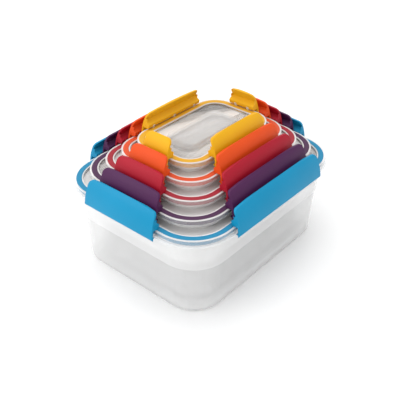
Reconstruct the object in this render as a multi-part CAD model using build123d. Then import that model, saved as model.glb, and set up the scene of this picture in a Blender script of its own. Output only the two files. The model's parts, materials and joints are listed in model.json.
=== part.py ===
"""Nesting set of five snap-lid food containers, stored one inside the other.

Clear tubs stand inside each other under the largest lid. The smaller lids stack on top of it.
Each lid has a moulded-in soft seal and four upright lever clips that pivot on its rim.
Frame: X along the long side, Y along the short side, Z up, origin at the centre of the base.
A section through a rim is drawn as (offset, height): offset is measured outwards from the
outer edge of the seal, and height from the top of the seal.
"""
from build123d import *
from math import cos, radians, sin
import os

# The set, largest first (mm)
COLOURS = ["blue", "purple", "red", "orange", "yellow"]
TUB_HEIGHTS = {"blue": 95.0, "purple": 84.0, "red": 73.0, "orange": 62.0, "yellow": 51.0}
SEAL_HALF_X = 120.0
SEAL_HALF_Y = 96.3
SEAL_TOP = 99.6
CORNER_RADIUS = 43.0
LEVEL_STEP = 13.4
LEVEL_RISE = 10.6
RADIUS_STEP = 4.8

# Seal and lid rim: offsets outwards and heights from the seal's top
SEAL_WIDTH = 5.8
SEAL_BAND_DEPTH = 2.0
SEAL_CROWN = 0.7
WEB_BOTTOM = -2.6
GASKET_BOTTOM = -6.6
GASKET_INSET = 0.4
GROOVE_INNER = -4.8
GROOVE_OUTER = -2.4
GROOVE_ROOF = -4.6
POST_LENGTH = 5.0
LIP_HEIGHT = -0.4
SKIRT_THICKNESS = 1.8
SKIRT_BOTTOM = -6.8
PLUG_THICKNESS = 1.4
SHELF_TOP = -4.2
PLUG_BOTTOM = SHELF_TOP - LEVEL_RISE
LID_THICKNESS = 1.4

# Raised panel of the lid: sloped flanks and a flat top
PANEL_FOOT_OFFSET = -21.2
PANEL_FOOT_RADIUS_CUT = 10.0
PANEL_TOP_OFFSET_X = -27.5
PANEL_TOP_OFFSET_Y = -24.5
PANEL_TOP_RADIUS_CUT = 15.8
PANEL_TOP = 2.4
PANEL_EDGE_RADIUS = 1.0

# Tub
WALL = 1.8
FLOOR = 2.0
BASE_OFFSET = -8.6
SHOULDER_OFFSET = -5.4
BAND_OFFSET = -4.0
MOUTH_OFFSET = -2.7
SHOULDER_SHARE = 0.63
BASE_EDGE_RADIUS = 6.0
FOOT_INSET = 18.0
FOOT_DEPTH = 0.6
FLANGE_OFFSET = 3.6
FLANGE_TOP_DROP = 2.4
FLANGE_THICKNESS = 0.9

# Lever clip: offsets and heights in the rim section, and how far the face leans in at each point
CLIP_HALF_X = 70.6
CLIP_HALF_Y = 47.0
CLIP_HALF_STEP = 7.4
CLIP_SHOULDER = (8.6, -5.5)
CLIP_BELLY = (5.3, 8.6)
CLIP_CREST = (-1.4, 20.6)
SHOULDER_LEAN = 5.0
BELLY_LEAN = 21.4
CREST_LEAN = 37.0
CLIP_THICKNESS = 2.0
CLIP_TAPER = 1.8
CLIP_BOW = 2.5
CLIP_CORNER_RADIUS = 4.5
END_WALL = 1.4
END_WALL_FOOT = (0.4, 8.0)
HOOK_TIP = 2.6
HOOK_TOP = -8.3
HOOK_BOTTOM = -9.5
HOOK_CHAMFER = 0.4
HOOK_TURN = (7.8, -8.4)
HOOK_HEEL = 5.4
HOOK_INSET = 3.0

# Pivot and the ledge above it
AXIS_HEIGHT = 3.0
PIVOT_RADIUS = 1.2
BAR_RADIUS = 2.2
BAR_ROOT = 6.0
LEDGE_TIP = -2.8
LEDGE_LOW = 4.4
LEDGE_HIGH = 5.6
LEDGE_BACK = (3.6, 10.4)
LEDGE_INSET = 1.0
EAR_THICKNESS = 3.0
EAR_GAP = 0.3
EAR_RADIUS = 2.1
EAR_FRONT = 1.6
EAR_BORE_RADIUS = 1.28
EAR_SLOT = 1.9
EAR_INSET = 9.0
EAR_CLEARANCE = 0.5
MIDDLE_EAR_FROM = 30.0


class Level:
    """Sizes of one container of the set, counted from the largest."""

    def __init__(self, index):
        self.colour = COLOURS[index]
        self.half_x = SEAL_HALF_X - index * LEVEL_STEP
        self.half_y = SEAL_HALF_Y - index * LEVEL_STEP
        self.radius = CORNER_RADIUS - index * RADIUS_STEP
        self.top = SEAL_TOP + index * LEVEL_RISE
        self.clip_half_x = CLIP_HALF_X - index * CLIP_HALF_STEP
        self.clip_half_y = CLIP_HALF_Y - index * CLIP_HALF_STEP
        self.tub_base = index * FLOOR
        self.tub_top = self.tub_base + TUB_HEIGHTS[self.colour]

    def sides(self):
        """Name, outward turn about Z, distance to the seal's edge and clip half-length."""
        return [("front", 0, self.half_y, self.clip_half_x), ("right", 90, self.half_x, self.clip_half_y),
                ("back", 180, self.half_y, self.clip_half_x), ("left", 270, self.half_x, self.clip_half_y)]


def outline(level, offset, radius=None):
    """Rounded rectangle at an offset from the seal's outer edge."""
    corner = radius if radius is not None else level.radius + offset
    return RectangleRounded(2 * (level.half_x + offset), 2 * (level.half_y + offset), corner)


def slab(level, offset, low, high, radius=None):
    """Flat plate between two heights."""
    return Pos(0, 0, low) * extrude(outline(level, offset, radius), high - low)


def band(level, inner, outer, low, high):
    """Upright rounded-rectangular ring between two offsets and two heights."""
    return slab(level, outer, low, high) - slab(level, inner, low, high)


def taper(level, low_offset, low, high_offset, high, extra=0.0):
    """Solid that widens from one offset at the low height to another at the high one."""
    lower = Pos(0, 0, low) * outline(level, low_offset + extra)
    upper = Pos(0, 0, high) * outline(level, high_offset + extra)
    return loft([lower, upper])


def place_on_side(piece, turn, distance, height):
    """Move a piece drawn about the front rim's section to one of the four sides."""
    return Rot(0, 0, turn) * Pos(0, -distance, height) * piece


def side_prism(section, half_length):
    """Extrude an (offset, height) section along a side; outwards is -Y and length is X."""
    upright = Plane(origin=(-half_length, 0, 0), x_dir=(0, -1, 0), z_dir=(-1, 0, 0))
    return extrude(upright * section, 2 * half_length, dir=(1, 0, 0))


def tub(level):
    """Clear tub: tapered wall, shoulder, upper band, mouth and the flange that the clips hook."""
    base = level.tub_base
    top = level.tub_top
    shoulder = base + SHOULDER_SHARE * TUB_HEIGHTS[level.colour]
    body = taper(level, BASE_OFFSET, base, SHOULDER_OFFSET, shoulder)
    base_edges = body.edges().group_by(Axis.Z)[0]
    body = fillet(base_edges, BASE_EDGE_RADIUS)
    body += taper(level, BAND_OFFSET, shoulder, MOUTH_OFFSET, top)
    flange_top = top - FLANGE_TOP_DROP
    body += slab(level, FLANGE_OFFSET, flange_top - FLANGE_THICKNESS, flange_top)
    hollow = taper(level, BASE_OFFSET, base + FLOOR, SHOULDER_OFFSET, shoulder, -WALL)
    hollow_edges = hollow.edges().group_by(Axis.Z)[0]
    hollow = fillet(hollow_edges, BASE_EDGE_RADIUS - WALL)
    hollow += taper(level, BAND_OFFSET, shoulder, MOUTH_OFFSET, top, -WALL)
    foot = slab(level, -FOOT_INSET, base, base + FOOT_DEPTH)
    return body - hollow - foot


def seal_posts(level):
    """Short posts that tie the visible band to the gasket through the lid's web."""
    inner = GASKET_INSET - SEAL_WIDTH
    outer = -GASKET_INSET
    height = -SEAL_BAND_DEPTH - WEB_BOTTOM
    middle = (WEB_BOTTOM - SEAL_BAND_DEPTH) / 2
    posts = []
    for _, turn, distance, half_length in level.sides():
        for place in (-half_length / 2, half_length / 2):
            post = Pos(place, -(inner + outer) / 2, middle) * Box(POST_LENGTH, outer - inner, height)
            posts.append(place_on_side(post, turn, distance, level.top))
    return posts


def seal(level):
    """Soft seal: a crowned band on top of the lid and the grooved gasket beneath it, in one piece."""
    top = level.top
    strip = band(level, -SEAL_WIDTH, 0, top - SEAL_BAND_DEPTH, top)
    strip = fillet(strip.edges().group_by(Axis.Z)[-1], SEAL_CROWN)
    gasket = band(level, GASKET_INSET - SEAL_WIDTH, -GASKET_INSET, top + GASKET_BOTTOM, top + WEB_BOTTOM)
    gasket -= band(level, GROOVE_INNER, GROOVE_OUTER, top + GASKET_BOTTOM, top + GROOVE_ROOF)
    piece = strip + gasket
    for post in seal_posts(level):
        piece += post
    return piece


def panel(level, inset, bottom, top):
    """Raised panel with sloped flanks, or its hollow when drawn with an inset."""
    foot = outline(level, PANEL_FOOT_OFFSET - inset, level.radius - PANEL_FOOT_RADIUS_CUT - inset)
    half_x = level.half_x + PANEL_TOP_OFFSET_X - inset
    half_y = level.half_y + PANEL_TOP_OFFSET_Y - inset
    crown = RectangleRounded(2 * half_x, 2 * half_y, level.radius - PANEL_TOP_RADIUS_CUT - inset)
    return loft([Pos(0, 0, bottom) * foot, Pos(0, 0, top) * crown])


def ear_places(half_length):
    """Positions of the pivot ears along one side."""
    end = half_length - EAR_INSET
    return (-end, 0, end) if half_length > MIDDLE_EAR_FROM else (-end, end)


def along_x(radius, length):
    """Rod on the pivot axis of the front rim."""
    return Pos(0, 0, AXIS_HEIGHT) * Rot(0, 90, 0) * Cylinder(radius, length)


def ear():
    """Round-topped ear with a snap-in socket, open at the top, for the clip's pivot."""
    depth = EAR_FRONT + SKIRT_THICKNESS
    post = Pos(0, (EAR_FRONT - SKIRT_THICKNESS) / 2, AXIS_HEIGHT / 2) * Box(EAR_THICKNESS, depth, AXIS_HEIGHT)
    root = Pos(0, -SKIRT_THICKNESS / 2, LIP_HEIGHT / 2) * Box(EAR_THICKNESS, SKIRT_THICKNESS, -LIP_HEIGHT)
    slot = Pos(0, 0, AXIS_HEIGHT + EAR_RADIUS) * Box(EAR_THICKNESS, EAR_SLOT, 2 * EAR_RADIUS)
    solid = post + root + along_x(EAR_RADIUS, EAR_THICKNESS)
    return solid - along_x(EAR_BORE_RADIUS, EAR_THICKNESS) - slot


def lid(level):
    """Clear lid: skirt, web, plug wall, sunken shelf, raised panel and the ears of the four clips."""
    top = level.top
    plug_outer = -SEAL_WIDTH
    plug_inner = plug_outer - PLUG_THICKNESS
    shelf_top = top + SHELF_TOP
    shelf_bottom = shelf_top - LID_THICKNESS
    piece = band(level, 0, SKIRT_THICKNESS, top + SKIRT_BOTTOM, top + LIP_HEIGHT)
    piece += band(level, plug_outer, 0, top + WEB_BOTTOM, top - SEAL_BAND_DEPTH)
    piece += band(level, plug_inner, plug_outer, top + PLUG_BOTTOM, top + LIP_HEIGHT)
    piece += slab(level, plug_inner, shelf_bottom, shelf_top)
    raised = panel(level, 0, shelf_top, top + PANEL_TOP)
    raised = fillet(raised.edges().group_by(Axis.Z)[-1], PANEL_EDGE_RADIUS)
    hollow = panel(level, LID_THICKNESS, shelf_bottom, top + PANEL_TOP - LID_THICKNESS)
    piece = piece + raised - hollow
    for _, turn, distance, half_length in level.sides():
        for place in ear_places(half_length):
            piece += place_on_side(Pos(place, 0, 0) * ear(), turn, distance, top)
    for post in seal_posts(level):
        piece -= post
    return piece


def behind(point, lean):
    """Point on the back of the clip's plate, behind a point where the face leans in by an angle."""
    return (point[0] - CLIP_THICKNESS * cos(radians(lean)), point[1] - CLIP_THICKNESS * sin(radians(lean)))


def clip_plate_section():
    """Curved plate of the clip, turned under into the hook, as an (offset, height) section."""
    crest_back = behind(CLIP_CREST, CREST_LEAN)
    shoulder_back = behind(CLIP_SHOULDER, SHOULDER_LEAN)
    face = ThreePointArc(CLIP_SHOULDER, CLIP_BELLY, CLIP_CREST)
    crest = Line(CLIP_CREST, crest_back)
    back = ThreePointArc(crest_back, behind(CLIP_BELLY, BELLY_LEAN), shoulder_back)
    hook = Polyline(shoulder_back, (shoulder_back[0], HOOK_TOP), (HOOK_TIP, HOOK_TOP),
                    (HOOK_TIP, HOOK_BOTTOM + HOOK_CHAMFER), (HOOK_TIP + HOOK_CHAMFER, HOOK_BOTTOM),
                    (HOOK_HEEL, HOOK_BOTTOM))
    turn = ThreePointArc((HOOK_HEEL, HOOK_BOTTOM), HOOK_TURN, CLIP_SHOULDER)
    return make_face([face, crest, back, hook, turn])


def clip_bar_section():
    """Sloped ledge behind the plate and the bar below it that carries the pivot."""
    bottom = AXIS_HEIGHT - BAR_RADIUS
    ledge = make_face(Polyline((-BAR_RADIUS, AXIS_HEIGHT), (LEDGE_TIP, LEDGE_LOW), (LEDGE_TIP, LEDGE_HIGH),
                               LEDGE_BACK, (BAR_ROOT, AXIS_HEIGHT), (BAR_ROOT, bottom), (0, bottom),
                               close=True))
    return Pos(0, AXIS_HEIGHT) * Circle(BAR_RADIUS) + ledge


def clip_end_section():
    """Wall that closes an end of the clip between the plate and the ledge."""
    return make_face(Polyline(CLIP_CREST, behind(CLIP_CREST, CREST_LEAN), END_WALL_FOOT, CLIP_BELLY, close=True))


def hook_end(place):
    """Space cut out of the hook near one end, so that it stands in from the plate's edge."""
    root = behind(CLIP_SHOULDER, SHOULDER_LEAN)[0]
    centre = Pos(place, -(HOOK_TIP + root) / 2, (HOOK_TOP + HOOK_BOTTOM) / 2)
    return centre * Box(2 * HOOK_INSET, root - HOOK_TIP, HOOK_TOP - HOOK_BOTTOM)


def clip_front_outline(half_length):
    """Face-on outline of the clip: straight foot, tapered ends and a bowed crest."""
    low = HOOK_BOTTOM - CLIP_THICKNESS
    high = CLIP_CREST[1] - CLIP_BOW
    top_half = half_length - CLIP_TAPER
    foot = Line((-half_length, low), (half_length, low))
    right = Line((half_length, low), (top_half, high))
    crest = ThreePointArc((top_half, high), (0, CLIP_CREST[1]), (-top_half, high))
    left = Line((-top_half, high), (-half_length, low))
    face = make_face([foot, right, crest, left])
    crest_corners = face.vertices().group_by(Axis.Y)[-1]
    return fillet(crest_corners, CLIP_CORNER_RADIUS)


def ear_pocket():
    """Room for one ear under the ledge, round about the pivot axis."""
    gap = EAR_THICKNESS + 2 * EAR_GAP
    reach = EAR_RADIUS + EAR_CLEARANCE
    return along_x(reach, gap) + Box(gap, 2 * reach, 2 * AXIS_HEIGHT)


def clip(half_length):
    """Lever clip drawn about the front rim's section: plate, hook, end walls, ledge and pivot."""
    bar_half = half_length - LEDGE_INSET
    bar = side_prism(clip_bar_section(), bar_half)
    for place in ear_places(half_length):
        bar -= Pos(place, 0, 0) * ear_pocket()
    walls = side_prism(clip_end_section(), half_length) - side_prism(clip_end_section(), half_length - END_WALL)
    plate = side_prism(clip_plate_section(), half_length) - hook_end(-half_length) - hook_end(half_length)
    piece = plate + walls + bar + along_x(PIVOT_RADIUS, 2 * bar_half)
    face = Plane.XZ * clip_front_outline(half_length)
    trim = extrude(face, 2 * CLIP_CREST[1], both=True)
    return piece & trim


def write(piece, node):
    """Save one node as a STEP file."""
    export_step(piece, f"parts/{node}.step")
    print(node, round(piece.volume / 1000, 2), "cm3", len(piece.solids()), "solid")


def main():
    os.makedirs("parts", exist_ok=True)
    for index, colour in enumerate(COLOURS):
        level = Level(index)
        write(tub(level), f"tub_{colour}")
        write(lid(level), f"lid_{colour}")
        write(seal(level), f"seal_{colour}")
        for side, turn, distance, half_length in level.sides():
            piece = place_on_side(clip(half_length), turn, distance, level.top)
            write(piece, f"clip_{colour}_{side}")


main()
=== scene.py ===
"""Looks for a nesting set of snap-lid food containers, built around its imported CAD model."""
import json
import math
import bpy
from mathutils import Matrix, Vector

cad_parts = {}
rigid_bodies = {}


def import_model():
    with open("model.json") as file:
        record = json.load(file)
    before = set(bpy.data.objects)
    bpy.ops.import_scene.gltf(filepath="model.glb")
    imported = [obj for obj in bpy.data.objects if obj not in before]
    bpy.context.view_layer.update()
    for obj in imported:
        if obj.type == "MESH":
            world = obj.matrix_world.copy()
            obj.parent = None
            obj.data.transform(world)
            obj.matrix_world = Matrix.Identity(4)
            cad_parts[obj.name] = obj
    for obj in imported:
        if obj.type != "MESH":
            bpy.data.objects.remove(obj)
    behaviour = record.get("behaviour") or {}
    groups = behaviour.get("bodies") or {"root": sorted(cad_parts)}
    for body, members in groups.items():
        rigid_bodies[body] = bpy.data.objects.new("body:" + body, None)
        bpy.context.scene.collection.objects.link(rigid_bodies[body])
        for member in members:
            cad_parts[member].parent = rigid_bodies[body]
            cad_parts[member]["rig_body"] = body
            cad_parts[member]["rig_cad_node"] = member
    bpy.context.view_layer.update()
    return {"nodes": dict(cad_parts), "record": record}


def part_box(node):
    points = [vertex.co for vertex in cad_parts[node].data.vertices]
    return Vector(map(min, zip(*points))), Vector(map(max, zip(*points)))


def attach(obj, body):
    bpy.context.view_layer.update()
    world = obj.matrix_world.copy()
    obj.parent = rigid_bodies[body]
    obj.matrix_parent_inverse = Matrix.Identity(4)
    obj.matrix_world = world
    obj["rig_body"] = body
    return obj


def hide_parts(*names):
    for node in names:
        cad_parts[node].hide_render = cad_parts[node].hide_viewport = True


bl_info = {
    "name": "Nesting Snap-Lid Containers",
    "version": (1, 0, 0),
    "blender": (4, 5, 0),
    "location": "View3D > Sidebar > Containers",
    "description": "Clear nested tubs and lids with soft seals and coloured lever clips",
    "category": "Object",
}

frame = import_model()

MM = 0.001
LEVELS = ("blue", "purple", "red", "orange", "yellow")
SIDES = ("front", "right", "back", "left")

# Places on the pieces, as the CAD has them
SHOULDER_SHARE = 0.63
SEAL_WIDTH = 5.8 * MM
SHELF_DROP = 4.0 * MM
LIP_DROP = 0.9 * MM
PLUG_DEPTH = 1.6 * MM
RIM_RADIUS = 43.0 * MM
RIM_RADIUS_STEP = 4.8 * MM

# Where the plastics' looks change, and over how much
SOFT_EDGE = 0.4 * MM
SHELF_EDGE = 0.3 * MM
SHOULDER_EDGE = 0.6 * MM
# Height over a tub's base where the painted shade under its shoulder has fully lifted
PAINTED_SHADE_END = 4.0 * MM
# Span over a tub's base of the painted highlight line at its foot
FOOT_HIGHLIGHT_EDGE = (1.5 * MM, 3.5 * MM)

# A seal's share of the clips' colour, and the pale bloom added to it
SEAL_SHARE = 0.8
SEAL_BLOOM = 0.02

# Mesh clean-up
WELD_DISTANCE = 1e-6
FLAT_ANGLE = math.radians(0.5)
BEVEL_ANGLE = math.radians(38)
SMOOTH_ANGLE = math.radians(35)

# Stage: each lamp has a name, a place, a size and a power
FLOOR_SIZE = 12.0
SKY_STRENGTH = 0.8
LAMPS = (("key", (-1.6, -0.3, 1.2), 1.4, 6.0), ("sheen", (-1.15, 0.87, 0.75), 0.7, 4.0),
         ("top", (0.2, 0.3, 2.2), 2.0, 22.0))
LAMP_AIM = (0, 0, 0.08)
CAMERA_AZIMUTH = math.radians(-49.28)
CAMERA_ELEVATION = math.radians(34.31)
CAMERA_DISTANCE = 0.7328
CAMERA_TARGET = (-0.0055, 0, 0.054)
CAMERA_LENS = 58.98
CAMERA_SENSOR = 36.0


def body_of(node):
    """Name of the CAD body that holds a node."""
    groups = frame["record"]["behaviour"]["bodies"]
    return next(name for name, members in groups.items() if node in members)


# ---------------------------------------------------------------- properties

class ContainerColours(bpy.types.PropertyGroup):
    """Colours of the clips and seals, one for each container, and of the clear plastics."""
    blue: bpy.props.FloatVectorProperty(name="Blue", description="Largest container", subtype="COLOR",
                                        size=3, default=(0.005, 0.27, 0.49))
    purple: bpy.props.FloatVectorProperty(name="Purple", description="Second container", subtype="COLOR",
                                          size=3, default=(0.075, 0.016, 0.075))
    red: bpy.props.FloatVectorProperty(name="Red", description="Third container", subtype="COLOR",
                                       size=3, default=(0.4, 0.008, 0.025))
    orange: bpy.props.FloatVectorProperty(name="Orange", description="Fourth container", subtype="COLOR",
                                          size=3, default=(0.78, 0.08, 0.01))
    yellow: bpy.props.FloatVectorProperty(name="Yellow", description="Smallest container", subtype="COLOR",
                                          size=3, default=(0.82, 0.42, 0.008))
    tub: bpy.props.FloatVectorProperty(name="Tub", description="Frosted tub plastic", subtype="COLOR",
                                       size=3, default=(1.0, 1.0, 1.0))
    lid: bpy.props.FloatVectorProperty(name="Lid", description="Clear lid plastic", subtype="COLOR",
                                       size=3, default=(0.97, 0.955, 0.94))


class ContainerSizes(bpy.types.PropertyGroup):
    """Small radii and film strengths that finish the pieces."""
    clip_edge: bpy.props.FloatProperty(name="Clip edge", description="Rounding of the clip edges",
                                       default=0.6 * MM, unit="LENGTH")
    lid_edge: bpy.props.FloatProperty(name="Lid edge", description="Rounding of the lid edges",
                                      default=0.3 * MM, unit="LENGTH")
    seal_edge: bpy.props.FloatProperty(name="Seal edge", description="Rounding of the seal edges",
                                       default=0.5 * MM, unit="LENGTH")
    tub_edge: bpy.props.FloatProperty(name="Tub edge", description="Rounding of the tub edges",
                                      default=0.35 * MM, unit="LENGTH")
    tub_film: bpy.props.FloatProperty(name="Tub film", description="How solid one face of a tub looks",
                                      default=0.26, subtype="FACTOR")
    tub_band: bpy.props.FloatProperty(name="Tub band", description="How solid the largest tub's band looks",
                                      default=0.36, subtype="FACTOR")
    nested_band: bpy.props.FloatProperty(name="Nested band",
                                         description="How solid the inner tubs' bands look",
                                         default=0.75, subtype="FACTOR")
    lid_film: bpy.props.FloatProperty(name="Lid film", description="How solid one face of a lid looks",
                                      default=0.14, subtype="FACTOR")
    plug_film: bpy.props.FloatProperty(name="Plug film", description="How solid a lid's shelf and plug look",
                                       default=0.7, subtype="FACTOR")
    # The solid lips beside a seal are a painted highlight
    lip_highlight_film: bpy.props.FloatProperty(name="Lip film", description="How solid the lips beside a seal look",
                                      default=0.65, subtype="FACTOR")


# ---------------------------------------------------------------- materials

class Value:
    """A shader socket that can be used in sums; each sum adds a Math node."""

    def __init__(self, tree, socket):
        self.tree = tree
        self.socket = socket

    def _math(self, operation, first, second):
        node = self.tree.nodes.new("ShaderNodeMath")
        node.operation = operation
        for entry, item in zip(node.inputs, (first, second)):
            if isinstance(item, Value):
                self.tree.links.new(item.socket, entry)
            else:
                entry.default_value = item
        return Value(self.tree, node.outputs[0])

    def __add__(self, other):
        return self._math("ADD", self, other)

    __radd__ = __add__

    def __sub__(self, other):
        return self._math("SUBTRACT", self, other)

    def __rsub__(self, other):
        return self._math("SUBTRACT", other, self)

    def __mul__(self, other):
        return self._math("MULTIPLY", self, other)

    __rmul__ = __mul__

    def __pow__(self, other):
        return self._math("POWER", self, other)

    def absolute(self):
        return self._math("ABSOLUTE", self, 0.0)

    def at_least(self, other):
        return self._math("MAXIMUM", self, other)


class Finish:
    """A procedural material under construction."""

    def __init__(self, name, **settings):
        self.material = bpy.data.materials.new(name)
        self.material.use_nodes = True
        self.tree = self.material.node_tree
        self.shader = self.tree.nodes["Principled BSDF"]
        for socket, value in settings.items():
            self.shader.inputs[socket.replace("_", " ")].default_value = value

    def node(self, kind, settings=None, output=0, **inputs):
        """Add a node, set it up, fill its sockets and return one of its outputs."""
        made = self.tree.nodes.new("ShaderNode" + kind)
        for key, value in (settings or {}).items():
            setattr(made, key, value)
        for key, item in inputs.items():
            entry = made.inputs[int(key[1:])] if key[0] == "i" and key[1:].isdigit() else made.inputs[key]
            if isinstance(item, Value):
                self.tree.links.new(item.socket, entry)
            else:
                entry.default_value = item
        return Value(self.tree, made.outputs[output])

    def place(self):
        """Object coordinates, in metres."""
        return self.node("TexCoord", output=3)

    def height(self):
        """Height above the ground, in metres."""
        return self.node("SeparateXYZ", output=2, Vector=self.place())

    def rise(self, value, low, high, start=0.0, end=1.0):
        """Smooth change from start to end while a value goes from low to high."""
        settings = {"interpolation_type": "SMOOTHSTEP"}
        return self.node("MapRange", settings, i0=value, i1=low, i2=high, i3=start, i4=end)

    def rim_distance(self, half_x, half_y, radius):
        """Distance outside a rounded rectangle about the origin; it is negative inside."""
        reach = [self.node("SeparateXYZ", output=axis, Vector=self.place()).absolute() for axis in (0, 1)]
        over_x = (reach[0] - (half_x - radius)).at_least(0.0)
        over_y = (reach[1] - (half_y - radius)).at_least(0.0)
        return (over_x ** 2.0 + over_y ** 2.0) ** 0.5 - radius

    def noise(self, scale, detail=2.0, roughness=0.5):
        """Noise from 0 to 1 over the object."""
        return self.node("TexNoise", Vector=self.place(), Scale=scale, Detail=detail, Roughness=roughness)

    def blend(self, factor, first, second):
        """Mix two colours."""
        return self.node("Mix", {"data_type": "RGBA"}, output=2, i0=factor, i6=first, i7=second)

    def feed(self, socket, value):
        """Link a value to the surface shader."""
        self.tree.links.new(value.socket, self.shader.inputs[socket])

    def bump(self, height, strength, distance):
        """Feed a height to the surface normal."""
        normal = self.node("Bump", Height=height, Strength=strength, Distance=distance)
        self.feed("Normal", normal)


def opaque(colour, share=1.0):
    """Colour with an alpha of one, scaled by a share."""
    return (colour[0] * share, colour[1] * share, colour[2] * share, 1.0)


def clip_plastic(name, colour):
    """Satin moulded plastic: a fine grain, faint flow clouds and slightly varied gloss."""
    finish = Finish(name, Specular_IOR_Level=0.16, Coat_Roughness=0.3)
    cloud = finish.noise(28.0, 3.0)
    finish.feed("Base Color", finish.blend(cloud, opaque(colour, 0.93), opaque(colour, 1.06)))
    grain = finish.noise(2600.0, 2.0)
    finish.feed("Roughness", 0.36 + 0.1 * cloud + 0.06 * grain)
    finish.feed("Coat Weight", 0.04 + 0.05 * cloud)
    finish.bump(grain, 0.12, 0.0002)
    return finish.material


def seal_rubber(name, colour):
    """Soft silicone: matte, with a dusty bloom and a very fine skin."""
    finish = Finish(name, Specular_IOR_Level=0.2)
    bloom = finish.noise(160.0, 4.0)
    dusty = [SEAL_SHARE * part + SEAL_BLOOM for part in colour]
    finish.feed("Base Color", finish.blend(bloom, opaque(dusty, 0.95), opaque(dusty, 1.12)))
    skin = finish.noise(1900.0, 3.0)
    finish.feed("Roughness", 0.46 + 0.14 * skin)
    finish.bump(skin, 0.1, 0.0002)
    return finish.material


def frosted_plastic(name, colour, film, band, base, top):
    """Milky tub plastic: a denser band above the shoulder, painted shade in the colour under the shoulder
    that lifts towards the foot, and a denser foot that paints a highlight line.
    """
    finish = Finish(name, Specular_IOR_Level=0.45, IOR=1.49)
    height = finish.height()
    shoulder = base + SHOULDER_SHARE * (top - base)
    above = finish.rise(height, shoulder - SHOULDER_EDGE, shoulder + SHOULDER_EDGE)
    painted_shade_lift = finish.rise(height, shoulder, base + PAINTED_SHADE_END)
    haze = finish.noise(26.0, 3.0)
    # Painted highlight: the foot is made denser so a bright line shows along the bottom edge.
    foot = finish.rise(height, base + FOOT_HIGHLIGHT_EDGE[0], base + FOOT_HIGHLIGHT_EDGE[1], 1.0, 0.0)
    # Painted shade: the colour is darkest just under the shoulder, lifts towards the foot and is lighter
    # above the shoulder; the haze term is random tone.
    tone = 0.9 + 0.1 * painted_shade_lift + 0.08 * above + 0.02 * haze
    finish.feed("Base Color", finish.blend(tone, opaque(colour, 0.0), opaque(colour, 1.0)))
    finish.feed("Alpha", film + (band - film) * above + 0.3 * foot + 0.04 * haze)
    grain = finish.noise(1500.0, 2.0)
    finish.feed("Roughness", 0.3 + 0.06 * grain + 0.06 * haze)
    finish.bump(grain, 0.05, 0.0002)
    return finish.material


def clear_plastic(name, colour, sizes, corner, radius):
    """Glossy see-through lid plastic, denser in the sunken shelf and the plug wall, and denser in the lips
    beside a seal to paint their highlight lines.
    """
    finish = Finish(name, Specular_IOR_Level=0.5, IOR=1.49)
    haze = finish.noise(45.0, 3.0)
    finish.feed("Base Color", finish.blend(haze, opaque(colour, 0.96), opaque(colour, 1.03)))
    facing = finish.node("LayerWeight", output=1, Blend=0.45)
    height = finish.height()
    rim = finish.rim_distance(corner[0], corner[1], radius)
    shelf_top = corner[2] - SHELF_DROP
    lip_foot = corner[2] - LIP_DROP
    plug_inner = -SEAL_WIDTH - PLUG_DEPTH
    inside = finish.rise(rim, -SEAL_WIDTH, SOFT_EDGE - SEAL_WIDTH, 1.0, 0.0)
    sunken = finish.rise(height, shelf_top, shelf_top + SHELF_EDGE, 1.0, 0.0)
    # Painted highlight: the lips beside each seal are made denser so they show as white lines.
    painted_lip_highlight = finish.rise(height, lip_foot - SOFT_EDGE, lip_foot)
    beside_seal = finish.rise(rim, plug_inner - SOFT_EDGE, plug_inner)
    clear = sizes.lid_film + 0.32 * facing ** 2.0 + 0.04 * haze
    walled = clear + (sizes.plug_film - clear) * inside * sunken
    finish.feed("Alpha", walled + (sizes.lip_highlight_film - walled) * painted_lip_highlight * beside_seal)
    grain = finish.noise(1500.0, 2.0)
    finish.feed("Roughness", 0.12 + 0.04 * grain + 0.05 * haze)
    finish.bump(grain, 0.04, 0.0002)
    return finish.material


# ---------------------------------------------------------------- shared mesh work

def only(piece):
    """Select one piece and make it active."""
    bpy.ops.object.select_all(action="DESELECT")
    piece.select_set(True)
    bpy.context.view_layer.objects.active = piece


def add_modifier(piece, kind, **settings):
    """Add a modifier, set it up and apply it."""
    only(piece)
    modifier = piece.modifiers.new(kind.title(), kind)
    for key, value in settings.items():
        setattr(modifier, key, value)
    bpy.ops.object.modifier_apply(modifier=modifier.name)


def finished_copy(node, name, edge, material, segments=3):
    """Welded copy of a CAD node with rounded edges and a material, standing in for the node."""
    source = frame["nodes"][node]
    piece = source.copy()
    piece.data = source.data.copy()
    piece.name = name
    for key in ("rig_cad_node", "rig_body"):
        if key in piece:
            del piece[key]
    piece.parent = None
    bpy.context.scene.collection.objects.link(piece)
    only(piece)
    bpy.ops.object.mode_set(mode="EDIT")
    bpy.ops.mesh.select_all(action="SELECT")
    bpy.ops.mesh.remove_doubles(threshold=WELD_DISTANCE)
    bpy.ops.mesh.dissolve_limited(angle_limit=FLAT_ANGLE)
    bpy.ops.object.mode_set(mode="OBJECT")
    add_modifier(piece, "BEVEL", width=edge, segments=segments, limit_method="ANGLE",
                 angle_limit=BEVEL_ANGLE, miter_outer="MITER_ARC")
    only(piece)
    bpy.ops.object.shade_smooth_by_angle(angle=SMOOTH_ANGLE)
    piece.data.materials.clear()
    piece.data.materials.append(material)
    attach(piece, body_of(node))
    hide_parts(node)
    return piece


# ---------------------------------------------------------------- operators

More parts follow.
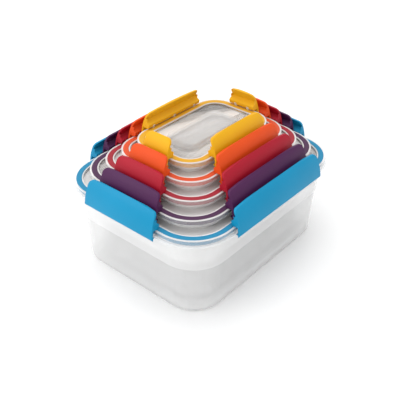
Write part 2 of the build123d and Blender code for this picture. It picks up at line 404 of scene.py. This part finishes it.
class CONTAINERS_OT_stage(bpy.types.Operator):
    """Pale floor, soft studio light and the camera"""
    bl_idname = "containers.stage"
    bl_label = "Stage"

    def execute(self, context):
        self.floor()
        self.lights(context.scene)
        self.camera(context.scene)
        return {"FINISHED"}

    def floor(self):
        bpy.ops.mesh.primitive_plane_add(size=FLOOR_SIZE, location=(0, 0, 0))
        ground = bpy.context.active_object
        ground.name = "floor"
        finish = Finish("pale_floor", Roughness=0.6)
        tone = finish.noise(3.0)
        finish.feed("Base Color", finish.blend(tone, (0.93, 0.93, 0.93, 1), (0.95, 0.95, 0.95, 1)))
        ground.data.materials.append(finish.material)

    def lights(self, scene):
        world = bpy.data.worlds.new("studio")
        world.use_nodes = True
        sky = world.node_tree.nodes["Background"]
        sky.inputs["Color"].default_value = (1, 1, 1, 1)
        sky.inputs["Strength"].default_value = SKY_STRENGTH
        scene.world = world
        for name, place, size, power in LAMPS:
            bpy.ops.object.light_add(type="AREA", location=place)
            lamp = bpy.context.active_object
            lamp.name = name + "_light"
            lamp.data.size = size
            lamp.data.energy = power
            aim = Vector(LAMP_AIM) - Vector(place)
            lamp.rotation_euler = aim.to_track_quat("-Z", "Y").to_euler()

    def camera(self, scene):
        bpy.ops.object.camera_add()
        camera = bpy.context.active_object
        level_reach = math.cos(CAMERA_ELEVATION)
        away = Vector((math.sin(CAMERA_AZIMUTH) * level_reach, -math.cos(CAMERA_AZIMUTH) * level_reach,
                       math.sin(CAMERA_ELEVATION)))
        camera.location = Vector(CAMERA_TARGET) + away * CAMERA_DISTANCE
        camera.rotation_euler = (-away).to_track_quat("-Z", "Y").to_euler()
        camera.data.lens = CAMERA_LENS
        camera.data.sensor_width = CAMERA_SENSOR
        camera.data.dof.use_dof = False
        scene.camera = camera
        scene.view_settings.view_transform = "Standard"
        scene.cycles.transparent_max_bounces = 64
        scene.cycles.max_bounces = 16


class CONTAINERS_OT_tubs(bpy.types.Operator):
    """Frosted tubs that stand inside each other"""
    bl_idname = "containers.tubs"
    bl_label = "Tubs"

    def execute(self, context):
        sizes = context.scene.container_sizes
        for colour in LEVELS:
            low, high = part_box(f"tub_{colour}")
            band = sizes.tub_band if colour == LEVELS[0] else sizes.nested_band
            material = frosted_plastic(f"{colour}_frost", context.scene.container_colours.tub,
                                       sizes.tub_film, band, low[2], high[2])
            piece = finished_copy(f"tub_{colour}", f"{colour}_tub", sizes.tub_edge, material)
        return {"FINISHED"}


class CONTAINERS_OT_lids(bpy.types.Operator):
    """Clear lids with a raised panel and sockets for the clips"""
    bl_idname = "containers.lids"
    bl_label = "Lids"

    def execute(self, context):
        sizes = context.scene.container_sizes
        for index, colour in enumerate(LEVELS):
            material = clear_plastic(f"{colour}_clear", context.scene.container_colours.lid, sizes,
                                     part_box(f"seal_{colour}")[1], RIM_RADIUS - index * RIM_RADIUS_STEP)
            piece = finished_copy(f"lid_{colour}", f"{colour}_lid", sizes.lid_edge, material, 2)
        return {"FINISHED"}


class CONTAINERS_OT_seals(bpy.types.Operator):
    """Soft coloured seals moulded into the lids"""
    bl_idname = "containers.seals"
    bl_label = "Seals"

    def execute(self, context):
        colours = context.scene.container_colours
        for colour in LEVELS:
            material = seal_rubber(f"{colour}_silicone", getattr(colours, colour))
            piece = finished_copy(f"seal_{colour}", f"{colour}_seal", context.scene.container_sizes.seal_edge,
                                  material, 2)
        return {"FINISHED"}


class CONTAINERS_OT_clips(bpy.types.Operator):
    """Lever clips, four to a lid"""
    bl_idname = "containers.clips"
    bl_label = "Clips"

    def execute(self, context):
        colours = context.scene.container_colours
        for colour in LEVELS:
            material = clip_plastic(f"{colour}_plastic", getattr(colours, colour))
            for side in SIDES:
                piece = finished_copy(f"clip_{colour}_{side}", f"{colour}_{side}_clip",
                                      context.scene.container_sizes.clip_edge, material)
        return {"FINISHED"}


class CONTAINERS_PT_panel(bpy.types.Panel):
    """Lists the set's pieces in the sidebar"""
    bl_idname = "CONTAINERS_PT_panel"
    bl_label = "Containers"
    bl_space_type = "VIEW_3D"
    bl_region_type = "UI"
    bl_category = "Containers"

    def draw(self, context):
        for group in (context.scene.container_colours, context.scene.container_sizes):
            for name in group.__annotations__:
                self.layout.prop(group, name)
        for operator in OPERATORS:
            self.layout.operator(operator.bl_idname)


OPERATORS = (CONTAINERS_OT_stage, CONTAINERS_OT_tubs, CONTAINERS_OT_lids, CONTAINERS_OT_seals,
             CONTAINERS_OT_clips)
CLASSES = (ContainerColours, ContainerSizes) + OPERATORS + (CONTAINERS_PT_panel,)


def register():
    for cls in CLASSES:
        bpy.utils.register_class(cls)
    bpy.types.Scene.container_colours = bpy.props.PointerProperty(type=ContainerColours)
    bpy.types.Scene.container_sizes = bpy.props.PointerProperty(type=ContainerSizes)


def unregister():
    del bpy.types.Scene.container_sizes
    del bpy.types.Scene.container_colours
    for cls in reversed(CLASSES):
        bpy.utils.unregister_class(cls)


def main():
    """Build every piece in order."""
    register()
    bpy.ops.object.select_all(action="DESELECT")
    for name in ("stage", "tubs", "lids", "seals", "clips"):
        getattr(bpy.ops.containers, name)()


if __name__ == "__main__":
    main()
